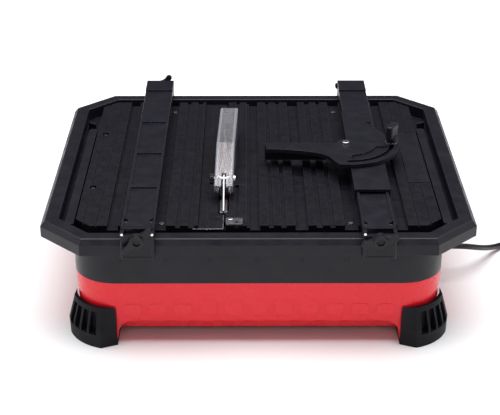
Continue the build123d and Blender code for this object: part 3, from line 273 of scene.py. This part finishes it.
def make_plate(name, low_x, high_x, low_y, high_y, low_z, thickness, slot):
    """A thin plate with rounded edges, held to the table."""
    made = bmesh.new()
    bmesh.ops.create_cube(made, size=1.0)
    for corner in made.verts:
        corner.co.x = (low_x + high_x) / 2 + corner.co.x * (high_x - low_x)
        corner.co.y = (low_y + high_y) / 2 + corner.co.y * (high_y - low_y)
        corner.co.z = low_z + thickness / 2 + corner.co.z * thickness
    rounding = min(PLATE_EDGE, thickness * 0.4)
    bmesh.ops.bevel(made, geom=made.edges[:], offset=rounding, segments=2, profile=0.5, affect="EDGES")
    data = bpy.data.meshes.new(name)
    made.to_mesh(data)
    made.free()
    finish_piece(bpy.data.objects.new(name, data), "saw_body", slot)


def make_plates():
    for name, values in PLATES.items():
        make_plate(name, *values)


make_plates()


# ---------------------------------------------------------------- mains cord
CORD_RADIUS = 0.004
CORD_REST = 0.0042           # height of a run's middle on the floor
LAYER_RISE = 0.0083          # from the coil's bottom layer to its top one
COIL_CENTRE = (0.440, 0.096)
COIL_RADIUS = 0.058          # outermost turn of the bottom layer
COIL_PITCH = 0.0085          # each turn lies beside the last one
COIL_TURNS = 3.125           # turns in each of the two layers
LEAD = [
    (0.2626, -0.062, 0.044),
    (0.286, -0.062, 0.044),
    (0.308, -0.046, 0.0335),
    (0.327, -0.018, 0.0185),
    (0.345, 0.008, 0.007),
    (0.368, 0.027, 0.0041),
    (0.402, 0.0365, 0.0042),
]
TAIL = [
    (0.4940, 0.1450, 0.0095),
    (0.4860, 0.1710, 0.007),
    (0.4640, 0.1860, 0.012),
    (0.4410, 0.1900, 0.018),
]


def coil_turns():
    """Two flat layers of turns: inward along the floor and outward again on top."""
    points = []
    steps = 16
    count = round(COIL_TURNS * steps)
    for index in range(2 * count + 2):
        angle = math.radians(-90) + 2 * math.pi * index / steps
        inward = index if index <= count else 2 * count + 1 - index
        radius = COIL_RADIUS - COIL_PITCH * inward / steps
        climb = min(max((index - count + 4) / 6, 0.0), 1.0)
        points.append((COIL_CENTRE[0] + radius * math.cos(angle), COIL_CENTRE[1] + radius * math.sin(angle),
                       CORD_REST + LAYER_RISE * climb))
    return points


def make_cord():
    points = LEAD + coil_turns() + TAIL
    data = bpy.data.curves.new("cord", "CURVE")
    data.dimensions = "3D"
    data.bevel_depth = CORD_RADIUS
    data.bevel_resolution = 5
    data.resolution_u = 6
    data.use_fill_caps = True
    line = data.splines.new("NURBS")
    line.points.add(len(points) - 1)
    for point, at in zip(line.points, points):
        point.co = (*at, 1.0)
    line.order_u = 3
    line.use_endpoint_u = True
    line.use_smooth = True
    cord = finish_piece(bpy.data.objects.new("cord", data), "saw_body", "cord")
    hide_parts("cord_lead", "cord_coil", "cord_tail")


make_cord()


# ---------------------------------------------------------------- floor and light
FLOOR_HALF = 7.0
# name: place, aim, width and height, watts
LIGHTS = {
    "top": ((0.0, 0.2, 2.6), (0.0, 0.0, 0.0), (3.6, 2.6), 150),
    "left": ((-2.2, -0.3, 0.9), (0.0, 0.0, 0.1), (1.6, 1.2), 9),
    "right": ((2.2, -0.3, 0.9), (0.0, 0.0, 0.1), (1.6, 1.2), 8),
    "front": ((0.0, -2.6, 1.6), (0.0, 0.0, 0.1), (2.4, 1.2), 10),
}


def make_floor():
    """A pale flat studio floor."""
    corners = [(x * FLOOR_HALF, y * FLOOR_HALF, 0) for x, y in ((-1, -1), (1, -1), (1, 1), (-1, 1))]
    data = bpy.data.meshes.new("floor")
    data.from_pydata(corners, [], [(0, 1, 2, 3)])
    floor = bpy.data.objects.new("floor", data)
    bpy.context.scene.collection.objects.link(floor)
    material = bpy.data.materials.new("floor")
    material.use_nodes = True
    shader = material.node_tree.nodes["Principled BSDF"]
    shader.inputs["Base Color"].default_value = (0.90, 0.90, 0.91, 1.0)
    shader.inputs["Roughness"].default_value = 0.8
    shader.inputs["Specular IOR Level"].default_value = 0.1
    data.materials.append(material)


def make_light(name, at, aim, size, watts):
    data = bpy.data.lights.new(name, "AREA")
    data.shape = "RECTANGLE"
    data.size = size[0]
    data.size_y = size[1]
    data.energy = watts
    light = bpy.data.objects.new(name, data)
    light.location = at
    light.rotation_euler = (Vector(aim) - Vector(at)).to_track_quat("-Z", "Y").to_euler()
    bpy.context.scene.collection.objects.link(light)


def make_stage():
    make_floor()
    for name, values in LIGHTS.items():
        make_light(name, *values)
    world = bpy.data.worlds.new("studio")
    world.use_nodes = True
    world.node_tree.nodes["Background"].inputs["Color"].default_value = (0.9, 0.92, 1.0, 1.0)
    world.node_tree.nodes["Background"].inputs["Strength"].default_value = 0.10
    bpy.context.scene.world = world
    bpy.context.scene.view_settings.view_transform = "Standard"


make_stage()
